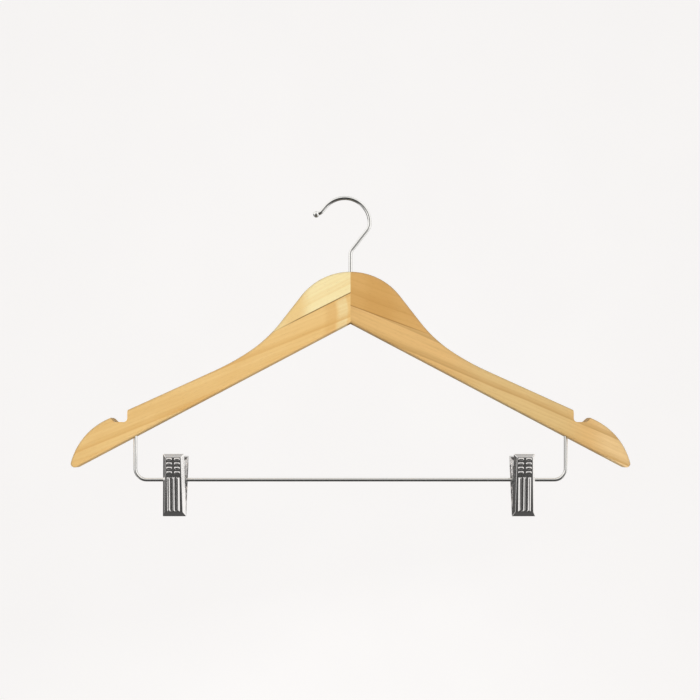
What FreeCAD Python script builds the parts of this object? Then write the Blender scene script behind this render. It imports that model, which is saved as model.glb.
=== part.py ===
import FreeCAD, Part
import math
import os
from FreeCAD import Vector

# Wooden skirt hanger: two finger-jointed arms, a swivel hook, a wire bar and two spring clips.
# Millimetres. The origin is on the swivel axis, where a rail seats inside the hook.
# X runs along the arms, the front looks towards -Y, and Z is up.

# Hook: bent wire with a ball tip and a peened lower head
hook_wire = 3.0
hook_bend_r = 19.9
hook_offset = 4.6
hook_tip_angle = 140
hook_tip_run = 5.7
hook_flare_angle = 22
hook_flare_run = 4.2
hook_flare_r = 4.0
hook_ball = 4.8
hook_side_run = 3.3
hook_kink_r = 9.0
hook_leave_angle = 38
hook_neck_r = 7.0
hook_gap = 0.1
head_dia = 4.8
head_height = 1.4
washer_dia = 6.0
washer_thick = 0.8
washer_gap = 0.1
recess_gap = 0.2
recess_depth = 4.0

# Wooden board: outline of one half, thickness and rounded edges
half_span = 221.5
board_thick = 12.0
edge_round = 2.5
crown_drop = 57.5
crown_depth = 40.2
crown_r = 49.5
flank_angle = 52
flank_run = 26.9
shoulder_near_r = 105.0
shoulder_mid_angle = 34
shoulder_far_r = 190.0
arm_top_angle = 24.4
arm_under_angle = 27.8
tip_r = 52.0
tip_corner_r = 3.0

# Strap notch in each arm's top edge
notch_inset = 45.4
notch_width = 10.3
notch_depth = 9.7
notch_corner_r = 3.0
notch_flare_angle = 45

# Glue lines of the crown blocks, and the finger joint at the centre
left_seam_drop = 17.0
left_seam_angle = 26.9
right_seam_drop = 27.0
right_seam_angle = 20.2
finger_reach = 4.0
finger_zone = 8.0

# Trouser bar
bar_wire = 2.8
bar_half = 171.5
bar_bend_r = 9.0
bar_drop = 34.3
bar_hole_depth = 9.0

# Clip jaws: pressed trays that lean apart above the bar and meet below it, the pair swung back on the bar
left_clip_inset = 32.0
right_clip_inset = 34.4
sheet = 0.8
jaw_above = 21.0
jaw_below = 28.5
jaw_top_width = 16.5
jaw_bottom_width = 18.3
jaw_tilt = 9.5
clip_swing = 6.5
lip_gap = 0.4
tray_depth = 2.6
side_inset = 2.1
top_lip = 2.4
bottom_lip = 3.7
tray_bend_r = 0.6

# Pressed grip bumps above the bar and ribs below it
bump_rows = 4
bump_drop = 4.0
bump_pitch = 3.5
bump_column = 3.1
bump_length = 4.6
bump_width = 2.2
bump_height = 0.8
rib_count = 3
rib_pitch = 3.6
rib_top = 2.8
rib_end_gap = 0.5
rib_width = 2.7
rib_height = 1.0
rib_crest = 0.7
rib_crest_r = 0.3
rib_root = 0.3

# Clip pivot: ears of both jaws on a flanged sleeve that slides on the bar
ear_r = 3.4
ear_spread = 1.6
ear_step = 0.35
outer_ear_seat = 0.4
inner_ear_seat = 1.4
ear_gap = 0.15
pivot_gap = 0.1
bar_gap = 0.1
sleeve_wall = 0.6
flange_rim = 1.1
flange_thick = 0.6
flange_gap = 0.1

# Torsion spring round the sleeve, one leg up behind each handle
spring_wire = 1.0
spring_gap = 0.3
spring_pitch = 1.6
spring_full_turns = 4
spring_leg_height = 14.0
spring_steps_per_turn = 4
spring_gap_samples = 24

overrun = 1.0
same_point = 0.001

# Places worked out from the sizes above
hook_inner_r = hook_bend_r - hook_wire / 2
hook_centre = Vector(-hook_offset, 0, -math.sqrt(hook_inner_r ** 2 - hook_offset ** 2))
crown_top = -crown_drop
apex = Vector(0, 0, crown_top - crown_depth)
under_slope = math.tan(math.radians(arm_under_angle))
notch_wall_x = half_span - notch_inset
recess_seat = apex.z + recess_depth
head_top = recess_seat - washer_gap - washer_thick
bar_mouth = apex.z - bar_half * under_slope
bar_level = bar_mouth - bar_drop
left_clip_x = left_clip_inset - bar_half
right_clip_x = bar_half - right_clip_inset
tilt = math.radians(jaw_tilt)
rim_level = (jaw_below * math.sin(tilt) + lip_gap / 2) / math.cos(tilt)
panel_level = rim_level + tray_depth
sleeve_bore = bar_wire + 2 * bar_gap
sleeve_dia = sleeve_bore + 2 * sleeve_wall
pivot_share = jaw_above / (jaw_above + jaw_below)
jaw_pivot_width = jaw_top_width + (jaw_bottom_width - jaw_top_width) * pivot_share
outer_ear_x = jaw_pivot_width / 2 - ear_step
inner_ear_x = outer_ear_x - sheet - ear_gap
spring_coil_r = sleeve_dia / 2 + spring_gap + spring_wire / 2


def heading(angle):
    # Unit direction in the XZ plane, from +X towards +Z.
    turn = math.radians(angle)
    return Vector(math.cos(turn), 0, math.sin(turn))


def on_circle(centre, radius, angle):
    return centre + heading(angle) * radius


def arc_points(centre, radius, first, last):
    # Start, middle and end of an arc in the XZ plane.
    angles = [first, (first + last) / 2, last]
    return [on_circle(centre, radius, angle) for angle in angles]


def corner_points(before, corner, after, radius):
    # Start, middle and end of the arc that rounds a corner between two runs.
    back = (before - corner).normalize()
    ahead = (after - corner).normalize()
    half = back.getAngle(ahead) / 2
    start = corner + back * (radius / math.tan(half))
    end = corner + ahead * (radius / math.tan(half))
    middle = corner + (back + ahead).normalize() * (radius / math.sin(half) - radius)
    return [start, middle, end]


def joined(stretches):
    # One wire through single points and arcs, with straight runs between them.
    edges = []
    last = None
    for stretch in stretches:
        if last is not None and last.distanceToPoint(stretch[0]) > same_point:
            edges.append(Part.LineSegment(last, stretch[0]).toShape())
        if len(stretch) > 1:
            edges.append(Part.Arc(*stretch).toShape())
        last = stretch[-1]
    return Part.Wire(edges)


def prism(stretches, depth):
    # Solid from a closed outline in the XZ plane, centred on Y.
    outline = joined(stretches + [[stretches[0][0]]])
    slab = Part.Face(outline).extrude(Vector(0, depth, 0))
    slab.translate(Vector(0, -depth / 2, 0))
    return slab


def rod(diameter, start, end):
    along = end - start
    return Part.makeCylinder(diameter / 2, along.Length, start, along)


def tube(path, diameter):
    first = path.OrderedEdges[0]
    start = first.valueAt(first.FirstParameter)
    direction = first.tangentAt(first.FirstParameter)
    ring = Part.Wire(Part.makeCircle(diameter / 2, start, direction))
    return path.makePipeShell([ring], True, False)


def flip_x(shape):
    return shape.mirror(Vector(0, 0, 0), Vector(1, 0, 0))


def flip_y(shape):
    return shape.mirror(Vector(0, 0, 0), Vector(0, 1, 0))


def make_hook():
    tip_start = on_circle(hook_centre, hook_bend_r, hook_tip_angle)
    tip_corner = tip_start + heading(hook_tip_angle + 90) * hook_tip_run
    ball = tip_corner + heading(180 + hook_flare_angle) * hook_flare_run
    crook = arc_points(hook_centre, hook_bend_r, hook_tip_angle, 0)
    kink = crook[-1] - Vector(0, 0, hook_side_run)
    slant = heading(-90 - hook_leave_angle)
    neck = kink + slant * (-kink.x / slant.x)
    stem_end = Vector(0, 0, head_top)
    flare = corner_points(ball, tip_corner, tip_start, hook_flare_r)
    turn = corner_points(crook[-1], kink, neck, hook_kink_r)
    bend = corner_points(kink, neck, stem_end, hook_neck_r)
    wire = tube(joined([[ball], flare, crook, turn, bend, [stem_end]]), hook_wire)
    knob = Part.makeSphere(hook_ball / 2, ball)
    head = rod(head_dia, stem_end, stem_end - Vector(0, 0, head_height))
    foot = head.BoundBox.ZMin + same_point
    rim = [edge for edge in head.Edges if edge.BoundBox.ZMax < foot]
    head = head.makeFillet(head_height / 2, rim)
    return wire.fuse([knob, head])


def make_hook_washer():
    top = Vector(0, 0, recess_seat - washer_gap)
    disc = rod(washer_dia, top, top - Vector(0, 0, washer_thick))
    return disc.cut(rod(hook_wire, top, top - Vector(0, 0, washer_thick)))


def upper_arcs():
    # Crown arc and both shoulder arcs of the right half, in order from the centre.
    crown_centre = Vector(0, 0, crown_top - crown_r)
    crown = arc_points(crown_centre, crown_r, 90, 90 - flank_angle)
    flank_end = crown[-1] + heading(-flank_angle) * flank_run
    near_centre = flank_end + heading(90 - flank_angle) * shoulder_near_r
    near = arc_points(near_centre, shoulder_near_r, -90 - flank_angle, -90 - shoulder_mid_angle)
    far_centre = near[-1] + heading(90 - shoulder_mid_angle) * shoulder_far_r
    far = arc_points(far_centre, shoulder_far_r, -90 - shoulder_mid_angle, -90 - arm_top_angle)
    return crown, near, far


def half_board():
    crown, near, far = upper_arcs()
    corner_x = half_span - tip_corner_r
    corner_rise = tip_corner_r / math.cos(math.radians(arm_under_angle))
    corner_centre = Vector(corner_x, 0, apex.z - corner_x * under_slope + corner_rise)
    along = heading(-arm_top_angle)
    base = far[-1] + heading(-90 - arm_top_angle) * tip_r
    offset = corner_centre - base
    aside = offset.dot(heading(90 - arm_top_angle))
    run = offset.dot(along) - math.sqrt((tip_r - tip_corner_r) ** 2 - aside ** 2)
    tip_centre = base + along * run
    lean = corner_centre - tip_centre
    meet_angle = math.degrees(math.atan2(lean.z, lean.x))
    tip = arc_points(tip_centre, tip_r, 90 - arm_top_angle, meet_angle)
    corner = arc_points(corner_centre, tip_corner_r, meet_angle, -90 - arm_under_angle)
    slab = prism([crown, near, far, tip, corner, [apex]], board_thick)
    edges = [edge for edge in slab.Edges
             if edge.BoundBox.YLength < same_point and edge.BoundBox.XMax > same_point]
    return slab.makeFillet(edge_round, edges)


def notch_cutter():
    # Upright inner wall, flat floor and flared outer wall, with both floor corners rounded.
    far = upper_arcs()[2]
    fall = (notch_wall_x - far[-1].x) * math.tan(math.radians(arm_top_angle))
    inner = Vector(notch_wall_x, 0, far[-1].z - fall - notch_depth)
    outer = inner + Vector(notch_width, 0, 0)
    rise = notch_depth + overrun
    flare = heading(90 - notch_flare_angle)
    inner_top = inner + Vector(0, 0, rise)
    outer_top = outer + flare * (rise / flare.z)
    inner_corner = corner_points(inner_top, inner, outer, notch_corner_r)
    outer_corner = corner_points(inner, outer, outer_top, notch_corner_r)
    return prism([inner_corner, outer_corner, [outer_top], [inner_top]], board_thick + overrun)


def finger_side():
    # Everything on the right of the finger joint, which is straight at both faces.
    edge_y = board_thick / 2 + overrun
    zone = finger_zone / 2
    zigzag = [
        Vector(0, -edge_y, 0),
        Vector(0, -zone, 0),
        Vector(finger_reach, -zone / 2, 0),
        Vector(-finger_reach, zone / 2, 0),
        Vector(0, zone, 0),
        Vector(0, edge_y, 0),
        Vector(half_span + overrun, edge_y, 0),
        Vector(half_span + overrun, -edge_y, 0),
    ]
    face = Part.Face(Part.makePolygon(zigzag + zigzag[:1]))
    bottom = apex.z - half_span
    face.translate(Vector(0, 0, bottom))
    return face.extrude(Vector(0, 0, -bottom))


def above_seam(drop, angle):
    # Everything above a right-hand glue line that falls outwards, as far out as the shoulder's end.
    seam = Vector(0, 0, crown_top - drop)
    fall = heading(-angle)
    shoulder_end = upper_arcs()[2][-1]
    inner = seam - fall * (finger_reach + overrun)
    outer = seam + fall * (shoulder_end.x / fall.x)
    outline = [[inner], [outer], [Vector(outer.x, 0, 0)], [Vector(inner.x, 0, 0)]]
    return prism(outline, board_thick + overrun)


def make_board_pieces():
    half = half_board()
    board = half.fuse(flip_x(half)).removeSplitter()
    bore_start = Vector(0, 0, apex.z - overrun)
    bore = rod(hook_wire + 2 * hook_gap, bore_start, Vector(0, 0, crown_top + overrun))
    recess = rod(washer_dia + 2 * recess_gap, apex - Vector(0, 0, recess_depth), Vector(0, 0, recess_seat))
    mouth = Vector(bar_half, 0, bar_mouth - bar_wire)
    bar_hole = rod(bar_wire, mouth, Vector(bar_half, 0, bar_mouth + bar_hole_depth))
    notch = notch_cutter()
    board = board.cut([bore, recess, notch, flip_x(notch), bar_hole, flip_x(bar_hole)])
    right_side = finger_side()
    left = board.cut(right_side)
    right = board.common(right_side)
    left_crown = flip_x(above_seam(left_seam_drop, left_seam_angle))
    right_crown = above_seam(right_seam_drop, right_seam_angle)
    return {
        "left_arm": left.cut(left_crown),
        "left_crown_block": left.common(left_crown),
        "right_arm": right.cut(right_crown),
        "right_crown_block": right.common(right_crown),
    }


def make_trouser_bar():
    right_top = Vector(bar_half, 0, bar_mouth + bar_hole_depth)
    left_top = Vector(-bar_half, 0, right_top.z)
    right_corner = Vector(bar_half, 0, bar_level)
    left_corner = Vector(-bar_half, 0, bar_level)
    left_bend = corner_points(left_top, left_corner, right_corner, bar_bend_r)
    right_bend = corner_points(left_corner, right_corner, right_top, bar_bend_r)
    return tube(joined([[left_top], left_bend, right_bend, [right_top]]), bar_wire)


def tray_outline(shrink, inset, top, bottom, y):
    top_half = jaw_top_width / 2 - inset - shrink
    bottom_half = jaw_bottom_width / 2 - inset - shrink
    corners = [
        Vector(-top_half, y, top - shrink),
        Vector(top_half, y, top - shrink),
        Vector(bottom_half, y, shrink - bottom),
        Vector(-bottom_half, y, shrink - bottom),
    ]
    return Part.makePolygon(corners + corners[:1])


def tray_block(shrink, shift):
    # Solid inside the walls of a tray that faces -Y, moved towards the pivot by a shift.
    rim = tray_outline(shrink, 0, jaw_above, jaw_below, shift - rim_level)
    panel = tray_outline(shrink, side_inset, jaw_above - top_lip, jaw_below - bottom_lip, shift - panel_level)
    return Part.makeLoft([rim, panel], True, True)


def capsule(length, width, height, along, centre):
    # Rod with round ends, sunk so that it stands out of the panel by its height.
    radius = (width ** 2 / 4 + height ** 2) / (2 * height)
    reach = (length - width) / 2
    profile = [
        Vector(-reach - radius, 0, 0),
        Vector(-reach, 0, radius),
        Vector(reach, 0, radius),
        Vector(reach + radius, 0, 0),
    ]
    lean = radius * math.cos(math.radians(45))
    first = Part.Arc(profile[0], Vector(-reach - lean, 0, lean), profile[1]).toShape()
    last = Part.Arc(profile[2], Vector(reach + lean, 0, lean), profile[3]).toShape()
    side = Part.LineSegment(profile[1], profile[2]).toShape()
    base = Part.LineSegment(profile[3], profile[0]).toShape()
    half = Part.Face(Part.Wire([first, side, last, base]))
    solid = half.revolve(Vector(0, 0, 0), Vector(1, 0, 0), 360)
    turn = FreeCAD.Rotation(Vector(1, 0, 0), along)
    sunk = centre + Vector(0, radius - height, 0)
    solid.Placement = FreeCAD.Placement(sunk, turn)
    return solid


def rib_outline(panel_y, rise, bottom):
    # Rectangle round the middle rib, at a height above the panel.
    grow = (rib_width - rib_crest) / 2 * (1 - rise / rib_height)
    half = rib_crest / 2 + grow
    inset = (rib_width - rib_crest) / 2 - grow
    corners = [
        Vector(-half, panel_y - rise, rib_top - inset),
        Vector(half, panel_y - rise, rib_top - inset),
        Vector(half, panel_y - rise, bottom + inset),
        Vector(-half, panel_y - rise, bottom + inset),
    ]
    return Part.makePolygon(corners + corners[:1])


def rib(panel_y, x):
    # Roof-shaped rib with a rounded crest, its root sunk into the panel.
    bottom = bottom_lip - jaw_below + rib_end_gap
    outlines = [rib_outline(panel_y, -rib_root, bottom), rib_outline(panel_y, rib_height, bottom)]
    roof = Part.makeLoft(outlines, True, True)
    crest_y = panel_y - rib_height + same_point
    roof = roof.makeFillet(rib_crest_r, [edge for edge in roof.Edges if edge.BoundBox.YMax < crest_y])
    roof.translate(Vector(x, 0, 0))
    return roof


def pressings(shift):
    # Grip bumps and ribs of one panel, moved towards the pivot by a shift.
    panel_y = shift - panel_level
    shapes = []
    for row in range(bump_rows):
        for side in (-1, 1):
            place = Vector(side * bump_column, panel_y, jaw_above - bump_drop - row * bump_pitch)
            shapes.append(capsule(bump_length, bump_width, bump_height, Vector(1, 0, 0), place))
    for count in range(rib_count):
        shapes.append(rib(panel_y, (count - (rib_count - 1) / 2) * rib_pitch))
    return shapes


def ear(outer_x, seat):
    # Round lug on the pivot, with a neck that runs into the tray's side wall.
    root = ear_r + ear_spread
    reach = rim_level + seat
    neck = [
        Vector(outer_x, 0, ear_r),
        Vector(outer_x, -reach, root),
        Vector(outer_x, -reach, -root),
        Vector(outer_x, 0, -ear_r),
    ]
    plate = Part.Face(Part.makePolygon(neck + neck[:1])).extrude(Vector(-sheet, 0, 0))
    lug = rod(2 * ear_r, Vector(outer_x, 0, 0), Vector(outer_x - sheet, 0, 0))
    return plate.fuse(lug)


def make_jaw(ear_x, ear_seat):
    # Front jaw, upright, with the pivot at the origin.
    slant = math.hypot(side_inset, tray_depth)
    shrink = sheet * (slant - side_inset) / tray_depth
    outer = tray_block(0, 0)
    bends = [edge for edge in outer.Edges if edge.BoundBox.YMin < -panel_level + same_point]
    outer = outer.makeFillet(tray_bend_r, bends)
    inner = tray_block(shrink, sheet)
    shell = outer.fuse(pressings(0)).cut(inner.fuse(pressings(sheet)))
    lug = ear(ear_x, ear_seat)
    hole_half = Vector(jaw_bottom_width, 0, 0)
    hole = rod(sleeve_dia + 2 * pivot_gap, -hole_half, hole_half)
    return shell.fuse([lug, flip_x(lug)]).cut(hole).removeSplitter()


def make_sleeve():
    # Hollow rivet on the bar, with a flange outside each outer ear.
    inside = Vector(outer_ear_x + flange_gap, 0, 0)
    outside = inside + Vector(flange_thick, 0, 0)
    barrel = rod(sleeve_dia, -outside, outside)
    flange = rod(sleeve_dia + 2 * flange_rim, inside, outside)
    body = barrel.fuse([flange, flip_x(flange)])
    return body.cut(rod(sleeve_bore, -outside, outside)).removeSplitter()


def tangent_arc(start, corner, end):
    # Arc from start to end whose end tangents meet at the corner.
    middle = (start + end) / 2
    half_chord = start.distanceToPoint(end) / 2
    side = start.distanceToPoint(corner)
    lean = math.acos(half_chord / side)
    crest = middle + (corner - middle).normalize() * (half_chord * math.tan(lean / 2))
    return Part.Arc(start, crest, end)


def biarc(start, start_along, end, end_along):
    # Two arcs that leave start and reach end in the given directions.
    span = end - start
    both = start_along + end_along
    bend = 2 * (1 - start_along.dot(end_along))
    pull = span.dot(both)
    reach = (math.sqrt(pull ** 2 + bend * span.dot(span)) - pull) / bend
    first_corner = start + start_along * reach
    last_corner = end - end_along * reach
    joint = (first_corner + last_corner) / 2
    return [tangent_arc(start, first_corner, joint), tangent_arc(joint, last_corner, end)]


def coil_point(turn, advance):
    return Vector(advance, spring_coil_r * math.cos(turn), spring_coil_r * math.sin(turn))


def coil_along(turn):
    rise = spring_pitch / (2 * math.pi)
    flat = Vector(rise, -spring_coil_r * math.sin(turn), spring_coil_r * math.cos(turn))
    return flat.normalize()


def spring_self_gap(path):
    # Least distance between points on different turns, less the wire.
    points = []
    for edge in path.OrderedEdges:
        points.extend(edge.discretize(spring_gap_samples)[:-1])
    apart = spring_gap_samples * spring_steps_per_turn
    least = path.Length
    for here in range(len(points)):
        for there in range(here + apart, len(points)):
            least = min(least, points[here].distanceToPoint(points[there]))
    return least - spring_wire


def make_spring():
    # The front leg comes down to the coil, which winds on and leaves up the back.
    rest_w = panel_level - sheet - spring_wire / 2 - spring_gap
    leg_y = rest_w * math.cos(tilt) + spring_leg_height * math.sin(tilt)
    leg_z = spring_leg_height * math.cos(tilt) - rest_w * math.sin(tilt)
    reach = math.hypot(leg_y, leg_z)
    leave = math.atan2(leg_z, leg_y) - math.acos(spring_coil_r / reach)
    first = math.pi - leave
    last = leave + 2 * math.pi * (spring_full_turns + 1)
    steps = math.ceil((last - first) / (2 * math.pi) * spring_steps_per_turn)
    rise = spring_pitch / (2 * math.pi)
    middle = (first + last) / 2
    turns = [first + (last - first) * step / steps for step in range(steps + 1)]
    points = [coil_point(turn, (turn - middle) * rise) for turn in turns]
    alongs = [coil_along(turn) for turn in turns]
    leg = math.sqrt(reach ** 2 - spring_coil_r ** 2) * math.hypot(1, rise / spring_coil_r)
    front_end = points[0] - alongs[0] * leg
    back_end = points[-1] + alongs[-1] * leg
    edges = [Part.LineSegment(front_end, points[0]).toShape()]
    for step in range(steps):
        arcs = biarc(points[step], alongs[step], points[step + 1], alongs[step + 1])
        edges.extend(arc.toShape() for arc in arcs)
    edges.append(Part.LineSegment(points[-1], back_end).toShape())
    path = Part.Wire(edges)
    print("spring gap to itself, mm:", round(spring_self_gap(path), 3))
    return tube(path, spring_wire)


def make_clip(side, x):
    place = Vector(x, 0, bar_level)
    front = make_jaw(outer_ear_x, outer_ear_seat)
    back = flip_y(make_jaw(inner_ear_x, inner_ear_seat))
    front.rotate(Vector(0, 0, 0), Vector(1, 0, 0), jaw_tilt)
    back.rotate(Vector(0, 0, 0), Vector(1, 0, 0), -jaw_tilt)
    pieces = {
        side + "_clip_front_jaw": front,
        side + "_clip_back_jaw": back,
        side + "_clip_sleeve": make_sleeve(),
        side + "_clip_spring": make_spring(),
    }
    for piece in pieces.values():
        piece.rotate(Vector(0, 0, 0), Vector(1, 0, 0), -clip_swing)
        piece.translate(place)
    return pieces


def make_parts():
    parts = {"hook": make_hook(), "hook_washer": make_hook_washer()}
    parts.update(make_board_pieces())
    parts["trouser_bar"] = make_trouser_bar()
    parts.update(make_clip("left", left_clip_x))
    parts.update(make_clip("right", right_clip_x))
    return parts


os.makedirs("parts", exist_ok=True)
for name, shape in make_parts().items():
    shape.exportStep("parts/" + name + ".step")
    print(name, len(shape.Solids), "solid", round(shape.Volume, 1), "mm3", shape.isValid())
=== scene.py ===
import math

import bpy
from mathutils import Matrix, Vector


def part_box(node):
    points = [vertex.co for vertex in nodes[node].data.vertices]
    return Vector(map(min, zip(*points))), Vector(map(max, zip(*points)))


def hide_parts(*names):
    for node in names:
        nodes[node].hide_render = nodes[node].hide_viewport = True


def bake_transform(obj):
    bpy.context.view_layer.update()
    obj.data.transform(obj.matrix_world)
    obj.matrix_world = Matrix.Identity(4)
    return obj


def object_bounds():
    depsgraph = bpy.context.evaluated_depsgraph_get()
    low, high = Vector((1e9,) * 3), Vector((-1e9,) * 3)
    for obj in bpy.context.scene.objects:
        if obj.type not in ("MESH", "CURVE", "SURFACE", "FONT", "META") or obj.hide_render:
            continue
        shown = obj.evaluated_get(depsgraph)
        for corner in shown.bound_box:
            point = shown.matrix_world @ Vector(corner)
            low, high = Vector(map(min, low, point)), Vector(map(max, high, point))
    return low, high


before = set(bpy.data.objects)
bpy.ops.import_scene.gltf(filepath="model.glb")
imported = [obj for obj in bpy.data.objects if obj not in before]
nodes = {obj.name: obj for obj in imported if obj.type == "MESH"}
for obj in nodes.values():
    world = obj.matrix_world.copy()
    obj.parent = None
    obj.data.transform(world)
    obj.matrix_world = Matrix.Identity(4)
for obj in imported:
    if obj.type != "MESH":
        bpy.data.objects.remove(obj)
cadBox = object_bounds()
print("frame loaded:", len(nodes), "nodes")


def clearSelection():
    if bpy.context.object and bpy.context.object.mode != "OBJECT":
        bpy.ops.object.mode_set(mode="OBJECT")
    bpy.ops.object.select_all(action="DESELECT")


def pickEdges(piece, test):
    # select the edges that have both ends where the test says
    for edge in piece.data.edges:
        edge.select = all(test(piece.data.vertices[v].co) for v in edge.vertices)


def linear(channel):
    # one screen channel, 0 to 255, by the sRGB curve
    share = channel / 255
    return ((share + 0.055) / 1.055) ** 2.4 if channel > 10 else share / 12.92


def srgb(red, green, blue):
    # screen colour as the linear colour that a shader takes
    return (linear(red), linear(green), linear(blue), 1)


class Shader:
    # one material's node tree, with short calls for the nodes that the finishes share

    def __init__(self, name):
        self.material = bpy.data.materials.new(name)
        self.material.use_nodes = True
        self.tree = self.material.node_tree
        self.surface = self.tree.nodes["Principled BSDF"]
        self.place = self.add("ShaderNodeTexCoord").outputs["Object"]

    def add(self, kind, **settings):
        node = self.tree.nodes.new(kind)
        for key, value in settings.items():
            setattr(node, key, value)
        return node

    def feed(self, socket, value):
        if isinstance(value, bpy.types.NodeSocket):
            self.tree.links.new(value, socket)
        else:
            socket.default_value = value

    def finish(self, key, value):
        self.feed(self.surface.inputs[key], value)

    def math(self, operation, first, second=0.0, third=0.0):
        node = self.add("ShaderNodeMath", operation=operation)
        for socket, value in zip(node.inputs, (first, second, third)):
            self.feed(socket, value)
        return node.outputs[0]

    def turned(self, degrees):
        # the piece's own coordinates, turned about Y so that X runs along the grain
        node = self.add("ShaderNodeVectorRotate", rotation_type="Y_AXIS")
        self.feed(node.inputs["Vector"], self.place)
        self.feed(node.inputs["Angle"], math.radians(degrees))
        return node.outputs["Vector"]

    def stretched(self, vector, scale, shift):
        node = self.add("ShaderNodeMapping")
        self.feed(node.inputs["Vector"], vector)
        self.feed(node.inputs["Scale"], scale)
        self.feed(node.inputs["Location"], shift)
        return node.outputs["Vector"]

    def split(self, vector):
        node = self.add("ShaderNodeSeparateXYZ")
        self.feed(node.inputs[0], vector)
        return node.outputs

    def noise(self, vector, scale, detail=4.0, roughness=0.55, distortion=0.0):
        node = self.add("ShaderNodeTexNoise")
        self.feed(node.inputs["Vector"], vector)
        settings = {"Scale": scale, "Detail": detail, "Roughness": roughness, "Distortion": distortion}
        for key, value in settings.items():
            self.feed(node.inputs[key], value)
        return node.outputs["Fac"]

    def ramp(self, factor, low, high, start=0.0, end=1.0):
        node = self.add("ShaderNodeMapRange", interpolation_type="SMOOTHSTEP")
        for socket, value in zip(node.inputs, (factor, low, high, start, end)):
            self.feed(socket, value)
        return node.outputs["Result"]

    def mix(self, factor, first, second):
        node = self.add("ShaderNodeMix", data_type="RGBA")
        self.feed(node.inputs["Factor"], factor)
        self.feed(node.inputs["A"], first)
        self.feed(node.inputs["B"], second)
        return node.outputs["Result"]

    def bump(self, height, strength, distance):
        node = self.add("ShaderNodeBump")
        self.feed(node.inputs["Height"], height)
        self.feed(node.inputs["Strength"], strength)
        self.feed(node.inputs["Distance"], distance)
        return node.outputs["Normal"]


def dress(node, material):
    nodes[node].data.materials.clear()
    nodes[node].data.materials.append(material)


# camera: square on to the front, close enough that both clips show their inner sides
cameraSet = {"distance": 0.57, "span": 0.558, "middle": (-0.0004, -0.1190), "eye": (-0.0004, -0.190)}


def makeCamera():
    lens = bpy.data.cameras.new("front camera")
    lens.sensor_fit = "HORIZONTAL"
    lens.angle = 2 * math.atan(cameraSet["span"] / 2 / cameraSet["distance"])
    lens.shift_x = (cameraSet["middle"][0] - cameraSet["eye"][0]) / cameraSet["span"]
    lens.shift_y = (cameraSet["middle"][1] - cameraSet["eye"][1]) / cameraSet["span"]
    camera = bpy.data.objects.new("front camera", lens)
    camera.location = (cameraSet["eye"][0], -cameraSet["distance"], cameraSet["eye"][1])
    camera.rotation_euler = (math.pi / 2, 0, 0)
    bpy.context.scene.collection.objects.link(camera)
    bpy.context.scene.camera = camera


makeCamera()
print("camera placed")


# studio: pale sweep behind and below, soft boxes, and a calm room for the plated pieces to reflect
studioSet = {
    "pale": srgb(247, 245, 244),
    "floorDrop": 1.0,
    "depth": 5.0,
    "width": 20.0,
    "wallAt": 1.8,
    "wallHeight": 3.4,
    "cove": 1.2,
    "coveSegments": 24,
    "paintTones": (srgb(120, 119, 118), srgb(126, 125, 124)),
    "paintGrain": 3.0,
    "paintSpan": (0.3, 0.7),
    "paintRough": 0.9,
    "glow": 0.915,
}


def makeSweep():
    clearSelection()
    floorLevel = cadBox[0].z - studioSet["floorDrop"]
    halfWay = studioSet["wallAt"] - studioSet["depth"] / 2
    bpy.ops.mesh.primitive_plane_add(size=1, location=(0, halfWay, floorLevel))
    sweep = bpy.context.object
    sweep.name = "studio sweep"
    sweep.scale = (studioSet["width"], studioSet["depth"], 1)
    bpy.ops.object.transform_apply(location=True, rotation=True, scale=True)
    bpy.ops.object.mode_set(mode="EDIT")
    bpy.ops.mesh.select_mode(type="EDGE")
    bpy.ops.mesh.select_all(action="DESELECT")
    bpy.ops.object.mode_set(mode="OBJECT")
    pickEdges(sweep, lambda p: p.y > halfWay)  # the floor's back edge, drawn up into the wall
    bpy.ops.object.mode_set(mode="EDIT")
    bpy.ops.mesh.extrude_edges_move(TRANSFORM_OT_translate={"value": (0, 0, studioSet["wallHeight"])})
    bpy.ops.object.mode_set(mode="OBJECT")
    pickEdges(sweep, lambda p: p.y > halfWay and p.z < floorLevel + studioSet["wallHeight"] / 2)
    bpy.ops.object.mode_set(mode="EDIT")
    bpy.ops.mesh.bevel(offset=studioSet["cove"], segments=studioSet["coveSegments"])
    bpy.ops.object.mode_set(mode="OBJECT")
    bpy.ops.object.shade_smooth()
    paint = Shader("pale sweep paint")
    grain = paint.noise(paint.place, studioSet["paintGrain"])
    tint = paint.mix(paint.ramp(grain, *studioSet["paintSpan"]), *studioSet["paintTones"])
    paint.finish("Base Color", tint)
    paint.finish("Roughness", studioSet["paintRough"])
    paint.finish("Emission Color", studioSet["pale"])
    paint.finish("Emission Strength", studioSet["glow"])
    sweep.data.materials.append(paint.material)
    sweep.visible_glossy = False
    sweep.visible_diffuse = False


# the room that plate mirrors: bright all round but for dark zones with soft edges
roomSet = {
    "tint": srgb(255, 253, 250),
    "shine": 1.04,
    "fill": 0.12,
    "zones": {  # where each begins and is full, along one axis of the mirrored direction, and its strength
        "standSides": (0.42, 0.27, 1.0),
        "standTop": (0.60, 0.36, 1.0),
        "standFace": (0.20, 0.60, 0.98),
        "tableTop": (0.02, 0.24, 1.0),
        "tableFace": (0.25, 0.60, 0.97),
        "drapeFront": (-0.19, -0.13, 1.0),
        "drapeBack": (0.66, 0.52, 1.0),
        "drapeSide": (0.70, 0.85, 1.0),
        "drapeTop": (0.28, 0.14, 0.95),
        "floor": (0.45, 0.75, 0.95),
        "backWall": (0.48, 0.85, 0.85),
        "ceiling": (0.88, 0.99, 0.55),
        "lowFill": (-0.6, 0.6, 0.10),
    },
}


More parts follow.
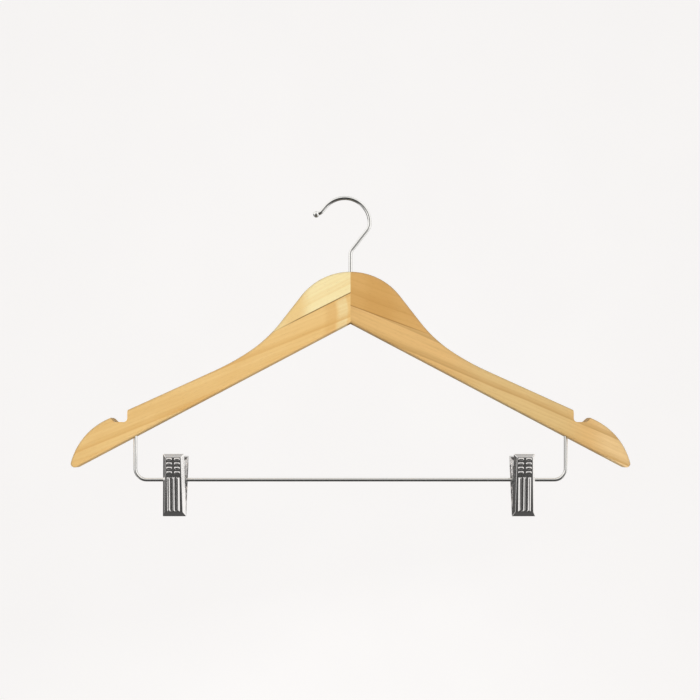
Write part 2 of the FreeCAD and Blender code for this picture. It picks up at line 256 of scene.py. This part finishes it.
def makeRoom():
    world = bpy.data.worlds.new("studio room")
    bpy.context.scene.world = world
    world.use_nodes = True
    tree = world.node_tree
    tree.nodes.clear()
    link = tree.links.new

    def maths(operation, first, second=0.0, third=0.0):
        node = tree.nodes.new("ShaderNodeMath")
        node.operation = operation
        for socket, value in zip(node.inputs, (first, second, third)):
            if isinstance(value, bpy.types.NodeSocket):
                link(value, socket)
            else:
                socket.default_value = value
        return node.outputs[0]

    def slope(value, zone):
        begin, full, strength = roomSet["zones"][zone]
        node = tree.nodes.new("ShaderNodeMapRange")
        node.interpolation_type = "SMOOTHSTEP"
        link(value, node.inputs[0])
        for socket, number in zip(node.inputs[1:5], (begin, full, 0.0, strength)):
            socket.default_value = number
        return node.outputs[0]

    way = tree.nodes.new("ShaderNodeTexCoord").outputs["Generated"]
    split = tree.nodes.new("ShaderNodeSeparateXYZ")
    link(way, split.inputs[0])
    x, y, z = split.outputs
    ahead = maths("MULTIPLY", y, -1.0)
    down = maths("MULTIPLY", z, -1.0)
    leftward = maths("MULTIPLY", x, -1.0)

    # a dark upright and a table in front of the object, and a drape at its left
    stand = maths("MULTIPLY", slope(maths("ABSOLUTE", x), "standSides"), slope(z, "standTop"))
    stand = maths("MULTIPLY", stand, slope(ahead, "standFace"))
    table = maths("MULTIPLY", slope(down, "tableTop"), slope(ahead, "tableFace"))
    drape = maths("MULTIPLY", slope(y, "drapeFront"), slope(y, "drapeBack"))
    drape = maths("MULTIPLY", drape, slope(leftward, "drapeSide"))
    drape = maths("MULTIPLY", drape, slope(z, "drapeTop"))
    dark = maths("MAXIMUM", stand, table)
    for zone in (drape, slope(down, "floor"), slope(y, "backWall"), slope(z, "ceiling")):
        dark = maths("MAXIMUM", dark, zone)

    # reflections see the zones, matte surfaces get a soft fill, and the camera sees plain pale paint
    shine = maths("MULTIPLY_ADD", dark, -1.0, roomSet["shine"])
    soft = maths("ADD", slope(down, "lowFill"), roomSet["fill"])
    paths = tree.nodes.new("ShaderNodeLightPath")
    glossy = tree.nodes.new("ShaderNodeMix")
    link(paths.outputs["Is Glossy Ray"], glossy.inputs["Factor"])
    link(soft, glossy.inputs["A"])
    link(shine, glossy.inputs["B"])
    room = tree.nodes.new("ShaderNodeBackground")
    room.inputs["Color"].default_value = roomSet["tint"]
    link(glossy.outputs["Result"], room.inputs["Strength"])
    plain = tree.nodes.new("ShaderNodeBackground")
    plain.inputs["Color"].default_value = studioSet["pale"]
    choose = tree.nodes.new("ShaderNodeMixShader")
    link(paths.outputs["Is Camera Ray"], choose.inputs["Fac"])
    link(room.outputs[0], choose.inputs[1])
    link(plain.outputs[0], choose.inputs[2])
    link(choose.outputs[0], tree.nodes.new("ShaderNodeOutputWorld").inputs["Surface"])


softBoxes = {
    "front left box": {"at": (-0.45, -1.5, 0.20), "size": 0.8, "power": 12},
    "front right box": {"at": (0.55, -1.5, 0.05), "size": 0.8, "power": 10},
    "low box": {"at": (0.25, -0.1, -1.1), "size": 1.0, "power": 6},
    "back box": {"at": (-0.2, 1.4, 0.25), "size": 1.0, "power": 12},
    "top box": {"at": (0.0, 0.1, 1.3), "size": 0.8, "power": 0.8},
}


def makeSoftBoxes():
    aim = (cadBox[0] + cadBox[1]) / 2
    for name, box in softBoxes.items():
        lamp = bpy.data.lights.new(name, "AREA")
        lamp.size = box["size"]
        lamp.energy = box["power"]
        holder = bpy.data.objects.new(name, lamp)
        holder.location = box["at"]
        holder.rotation_euler = (aim - Vector(box["at"])).to_track_quat("-Z", "Y").to_euler()
        holder.visible_glossy = False  # plate mirrors the room, not the lamps
        bpy.context.scene.collection.objects.link(holder)


makeSweep()
makeRoom()
makeSoftBoxes()
bpy.context.scene.view_settings.view_transform = "Standard"
print("studio lit")


# blond wood: one board per piece, each with its own tone, growth rings and grain direction; the left crown
# block's pale tone is partly painted sheen
woodSet = {
    "left_arm": {
        "tone": srgb(241, 203, 136), "deep": srgb(222, 172, 98), "turn": 22.1, "seed": 1.3,
        "ringAt": -0.1048, "ringGap": 0.0185, "ringDepth": 0.45, "glue": "left",
    },
    "right_arm": {
        "tone": srgb(234, 190, 124), "deep": srgb(200, 158, 96), "turn": -23.4, "seed": 4.1,
        "ringAt": -0.0915, "ringGap": 0.0150, "ringDepth": 0.60, "glue": "right",
    },
    # pale tone: partly the board's own lighter wood and partly painted sheen of the lacquer
    "left_crown_block": {
        "tone": srgb(252, 236, 182), "deep": srgb(240, 206, 138), "turn": 26.9, "seed": 7.7,
        "ringAt": -0.0600, "ringGap": 0.0210, "ringDepth": 0.30, "glue": "left",
    },
    "right_crown_block": {
        "tone": srgb(221, 174, 106), "deep": srgb(202, 152, 82), "turn": -20.2, "seed": 9.2,
        "ringAt": -0.0700, "ringGap": 0.0190, "ringDepth": 0.35, "glue": "right",
    },
}
glueSet = {  # glue lines: where they cross the centre, how they fall, and how they show
    "left": {
        "level": -0.0745, "fall": 26.9,
        "stain": srgb(122, 84, 34), "strength": 0.85, "fade": (0.036, 0.058),
    },
    "right": {
        "level": -0.0845, "fall": -20.2,
        "stain": srgb(150, 100, 44), "strength": 0.60, "fade": (0.040, 0.066),
    },
}
toneAndSheenSet = {  # paler and warmer places in the wood's tone, and painted sheen of the lacquer near the centre: the span says where along X each begins, is full, wanes and is gone
    "left_arm": [
        # a pale band near the centre: painted highlight standing in for the lacquer's sheen
        {"tone": srgb(246, 226, 170), "span": (-0.0125, -0.0085, -0.0040, -0.0020), "strength": 0.75},
        {"tone": srgb(222, 172, 104), "span": (-0.0230, -0.0170, -0.0130, -0.0110), "strength": 0.45},
    ],
    "left_crown_block": [
        # the board's deeper tone towards the outer end, which keeps the painted sheen pale near the centre
        {"tone": srgb(236, 198, 132), "span": (-0.0700, -0.0460, -0.0420, -0.0300), "strength": 0.90},
    ],
    "right_arm": [
        {"tone": srgb(220, 198, 140), "span": (0.0700, 0.1100, 0.1650, 0.1900), "strength": 0.50},
        {"tone": srgb(250, 219, 164), "span": (0.1850, 0.2050, 0.2300, 0.2400), "strength": 0.55},
    ],
    "right_crown_block": [
        {"tone": srgb(204, 152, 80), "span": (0.0080, 0.0180, 0.0280, 0.0420), "strength": 0.40},
    ],
}
figureSet = {  # noise in the wood, drawn out along the grain
    "clouds": {"stretch": (9, 34, 34), "detail": 3.0, "roughness": 0.5, "distortion": 0.6},
    "streaks": {"stretch": (9, 420, 420), "detail": 5.0, "roughness": 0.6, "distortion": 0.3},
    "fibres": {"stretch": (70, 2600, 2600), "detail": 3.0, "roughness": 0.6, "distortion": 0.0},
    "pores": {"stretch": (230, 5200, 5200), "detail": 1.0, "roughness": 0.5, "distortion": 0.0},
    "wander": {"stretch": (14, 3, 60), "detail": 2.0, "roughness": 0.4, "distortion": 0.0},
}
boardSet = {  # what the four boards share
    "seedSpread": (1.0, 0.7, 1.9),
    "ringWander": 0.0034,  # how far a growth ring strays, in metres
    "late": (0.34, 0.955),  # dark late wood: where it has faded and where the next begins, in one ring
    "fineRings": 6.0,  # fine rings in each broad one
    "fineLate": (0.5, 0.8),
    "fineDepth": 0.10,
    "shades": {"streaks": (0.30, 0.72, 0.22), "clouds": (0.35, 0.68, 0.25), "fibres": (0.45, 0.75, 0.16)},
    "patchRipple": 0.006,
    "poreSpan": (0.64, 0.76),
    "poreDepth": 0.30,
    "poreTone": srgb(150, 104, 52),
    "stainSpan": (0.00018, 0.00062),
    "stainLeft": 0.25,  # share of the stain that goes on to the glue line's end
    "roughSpan": (0.2, 0.8),
    "rough": (0.36, 0.48),
    "specular": 0.30,
    "coat": 0.4,
    "coatRough": 0.16,
    "fibreRelief": 0.5,
    "poreRelief": -2.0,
    "bumpStrength": 0.10,
    "bumpDepth": 0.0003,
}


def lateWood(wood, step, faded, begins):
    return wood.math("MAXIMUM", wood.ramp(step, 0.0, faded, 1.0, 0.0), wood.ramp(step, begins, 1.0))


def growthRings(wood, grain, wander, look):
    # dark late wood above each line, fading into the next pale early wood
    across = wood.math("MULTIPLY_ADD", wander, boardSet["ringWander"], wood.split(grain)["Z"])
    start = look["ringAt"] + boardSet["ringWander"] / 2
    count = wood.math("DIVIDE", wood.math("SUBTRACT", across, start), look["ringGap"])
    broad = lateWood(wood, wood.math("FRACT", count), *boardSet["late"])
    fineCount = wood.math("MULTIPLY", count, boardSet["fineRings"])
    fine = lateWood(wood, wood.math("FRACT", fineCount), *boardSet["fineLate"])
    shade = wood.math("MULTIPLY", broad, look["ringDepth"])
    return wood.math("MULTIPLY_ADD", fine, boardSet["fineDepth"], shade)


def patchToneAndSheen(wood, tone, patch, x, clouds):
    # one place along X mixed into the tone; the places hold both tone patches and painted sheen
    begin, full, wane, gone = [place + boardSet["patchRipple"] / 2 for place in patch["span"]]
    ripple = wood.math("MULTIPLY_ADD", clouds, boardSet["patchRipple"], x)
    rising = wood.ramp(ripple, begin, full)
    falling = wood.ramp(ripple, wane, gone, patch["strength"], 0.0)
    return wood.mix(wood.math("MULTIPLY", rising, falling), tone, patch["tone"])


def glueLine(wood, tone, glue, x):
    # a thread of stain along the glue line
    seam = wood.split(wood.turned(glue["fall"]))["Z"]
    level = glue["level"] * math.cos(math.radians(glue["fall"]))
    away = wood.math("ABSOLUTE", wood.math("SUBTRACT", seam, level))
    thread = wood.ramp(away, *boardSet["stainSpan"], glue["strength"], 0.0)
    fading = wood.ramp(wood.math("ABSOLUTE", x), *glue["fade"], 1.0, boardSet["stainLeft"])
    return wood.mix(wood.math("MULTIPLY", thread, fading), tone, glue["stain"])


def woodFinish(node, look):
    wood = Shader(node.replace("_", " ") + " lacquered wood")
    grain = wood.turned(look["turn"])
    seed = [look["seed"] * spread for spread in boardSet["seedSpread"]]
    figure = {}
    for name, kind in figureSet.items():
        drawnOut = wood.stretched(grain, kind["stretch"], seed)
        figure[name] = wood.noise(drawnOut, 1.0, kind["detail"], kind["roughness"], kind["distortion"])
    shade = growthRings(wood, grain, figure["wander"], look)
    for name, (low, high, depth) in boardSet["shades"].items():
        shade = wood.math("MULTIPLY_ADD", wood.ramp(figure[name], low, high), depth, shade)
    x = wood.split(wood.place)["X"]
    tone = look["tone"]
    # paler and darker places along the board, some of them painted sheen of the lacquer
    for patch in toneAndSheenSet[node]:
        tone = patchToneAndSheen(wood, tone, patch, x, figure["clouds"])
    tone = wood.mix(shade, tone, look["deep"])
    poreMask = wood.ramp(figure["pores"], *boardSet["poreSpan"], 0.0, boardSet["poreDepth"])
    tone = wood.mix(poreMask, tone, boardSet["poreTone"])
    tone = glueLine(wood, tone, glueSet[look["glue"]], x)
    wood.finish("Base Color", tone)
    wood.finish("Roughness", wood.ramp(figure["streaks"], *boardSet["roughSpan"], *boardSet["rough"]))
    wood.finish("Specular IOR Level", boardSet["specular"])
    wood.finish("Coat Weight", boardSet["coat"])
    wood.finish("Coat Roughness", boardSet["coatRough"])
    sunk = wood.math("MULTIPLY", poreMask, boardSet["poreRelief"])
    relief = wood.math("MULTIPLY_ADD", figure["fibres"], boardSet["fibreRelief"], sunk)
    wood.finish("Normal", wood.bump(relief, boardSet["bumpStrength"], boardSet["bumpDepth"]))
    return wood.material


for node, look in woodSet.items():
    dress(node, woodFinish(node, look))
print("wood finished")


# bright plate on wire and sheet, duller plate on the small parts
plateSet = {
    "hook": {"colour": (0.94, 0.94, 0.93, 1), "rough": 0.08},
    "trouser_bar": {"colour": (0.93, 0.93, 0.92, 1), "rough": 0.09},
    "jaw": {"colour": (0.93, 0.92, 0.92, 1), "rough": 0.10},
    "sleeve": {"colour": (0.55, 0.55, 0.54, 1), "rough": 0.30},
    "washer": {"colour": (0.46, 0.45, 0.44, 1), "rough": 0.40},
    "spring": {"colour": (0.50, 0.50, 0.51, 1), "rough": 0.26},
}
wearSet = {  # what all the plate shares: dull clouds and fine specks
    "cloudScale": 900.0,
    "cloudDetail": 4.0,
    "dullSpan": (0.35, 0.75),
    "dullShare": 0.25,
    "dullTone": (0.70, 0.69, 0.68, 1),
    "roughSpan": (0.3, 0.7),
    "roughGain": 1.7,
    "speckScale": 5200.0,
    "speckDetail": 2.0,
    "bumpStrength": 0.05,
    "bumpDepth": 0.00004,
}


def plateFinish(name):
    look = plateSet[name]
    plate = Shader(name.replace("_", " ") + " plate")
    cloud = plate.noise(plate.place, wearSet["cloudScale"], wearSet["cloudDetail"])
    specks = plate.noise(plate.place, wearSet["speckScale"], wearSet["speckDetail"])
    dull = plate.ramp(cloud, *wearSet["dullSpan"], 0.0, wearSet["dullShare"])
    roughest = look["rough"] * wearSet["roughGain"]
    plate.finish("Base Color", plate.mix(dull, look["colour"], wearSet["dullTone"]))
    plate.finish("Metallic", 1.0)
    plate.finish("Roughness", plate.ramp(cloud, *wearSet["roughSpan"], look["rough"], roughest))
    plate.finish("Normal", plate.bump(specks, wearSet["bumpStrength"], wearSet["bumpDepth"]))
    return plate.material


dress("hook", plateFinish("hook"))
dress("trouser_bar", plateFinish("trouser_bar"))
dress("hook_washer", plateFinish("washer"))
jawPlate = plateFinish("jaw")
sleevePlate = plateFinish("sleeve")
for side in ("left", "right"):
    dress(side + "_clip_front_jaw", jawPlate)
    dress(side + "_clip_back_jaw", jawPlate)
    dress(side + "_clip_sleeve", sleevePlate)
print("metal finished")


# torsion springs: one coil round each sleeve, with a leg up behind each handle
springSet = {
    "wire": 0.0010,
    "coilRadius": 0.0029,
    "pitch": 0.0016,
    "turns": 4,
    "legEnd": (0.0082, 0.0128),
    "swing": 6.5,  # degrees that the clip hangs swung back on the bar
    "stepsPerTurn": 32,
    "wireRings": 3,
    "mergeShare": 0.01,
    "cutEdge": 0.00012,
    "cutSegments": 2,
    "cutAngle": 60,
    "smoothAngle": 50,
}


def windCoil(spring, first, turn, rise):
    # one point, wound about the bar into the coil's middle line
    radius = springSet["coilRadius"]
    bpy.ops.object.mode_set(mode="EDIT")
    bpy.ops.mesh.select_all(action="SELECT")
    bpy.ops.mesh.merge(type="CENTER")
    bpy.ops.transform.translate(value=(-rise / 2, radius * math.cos(first), radius * math.sin(first)))
    bpy.ops.object.mode_set(mode="OBJECT")
    winding = spring.modifiers.new("winding", "SCREW")
    winding.axis = "X"
    winding.angle = turn
    winding.screw_offset = rise
    winding.steps = winding.render_steps = round(turn / math.tau * springSet["stepsPerTurn"])
    bpy.ops.object.modifier_apply(modifier=winding.name)


def drawLegs(spring, leave, legLength):
    # both ends of the coil drawn out straight, going on at the coil's own lead
    lean = legLength * springSet["pitch"] / (math.tau * springSet["coilRadius"])
    for end, sign in ((0, -1), (len(spring.data.vertices) - 1, 1)):
        bpy.ops.object.mode_set(mode="EDIT")
        bpy.ops.mesh.select_mode(type="VERT")
        bpy.ops.mesh.select_all(action="DESELECT")
        bpy.ops.object.mode_set(mode="OBJECT")
        spring.data.vertices[end].select = True
        bpy.ops.object.mode_set(mode="EDIT")
        leg = (sign * lean, -sign * legLength * math.sin(leave), legLength * math.cos(leave))
        bpy.ops.mesh.extrude_region_move(TRANSFORM_OT_translate={"value": leg})
        bpy.ops.object.mode_set(mode="OBJECT")


def roundWire(spring):
    # the round wire along the middle line, with cut ends
    bpy.ops.object.convert(target="CURVE")
    spring.data.bevel_depth = springSet["wire"] / 2
    spring.data.bevel_resolution = springSet["wireRings"]
    spring.data.use_fill_caps = True
    bpy.ops.object.convert(target="MESH")
    bpy.ops.object.mode_set(mode="EDIT")
    bpy.ops.mesh.select_all(action="SELECT")
    bpy.ops.mesh.remove_doubles(threshold=springSet["wire"] * springSet["mergeShare"])
    bpy.ops.mesh.normals_make_consistent(inside=False)
    bpy.ops.object.mode_set(mode="OBJECT")
    edging = spring.modifiers.new("cut edge", "BEVEL")
    edging.width = springSet["cutEdge"]
    edging.segments = springSet["cutSegments"]
    edging.angle_limit = math.radians(springSet["cutAngle"])
    bpy.ops.object.modifier_apply(modifier=edging.name)
    bpy.ops.object.shade_smooth_by_angle(angle=math.radians(springSet["smoothAngle"]))


def makeSpring(side):
    clearSelection()
    sleeveLow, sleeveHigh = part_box(side + "_clip_sleeve")
    pivot = (sleeveLow + sleeveHigh) / 2
    radius = springSet["coilRadius"]
    legY, legZ = springSet["legEnd"]
    reach = math.hypot(legY, legZ)
    leave = math.atan2(legZ, legY) - math.acos(radius / reach)  # where the back leg leaves, from +Y to +Z
    first = math.pi - leave  # where the front leg leaves, on the other side
    turn = leave + math.tau * (springSet["turns"] + 1) - first
    rise = turn / math.tau * springSet["pitch"]

    bpy.ops.mesh.primitive_plane_add(size=springSet["wire"])
    spring = bpy.context.object
    spring.name = side + "_clip_spring_wire"
    windCoil(spring, first, turn, rise)
    drawLegs(spring, leave, math.sqrt(reach ** 2 - radius ** 2))
    roundWire(spring)
    spring.rotation_euler.x = -math.radians(springSet["swing"])
    spring.location = pivot
    bpy.ops.object.transform_apply(location=True, rotation=True, scale=True)
    spring.data.materials.clear()
    spring.data.materials.append(springPlate)
    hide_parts(side + "_clip_spring")
    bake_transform(spring)


springPlate = plateFinish("spring")
for side in ("left", "right"):
    makeSpring(side)
print("springs wound")
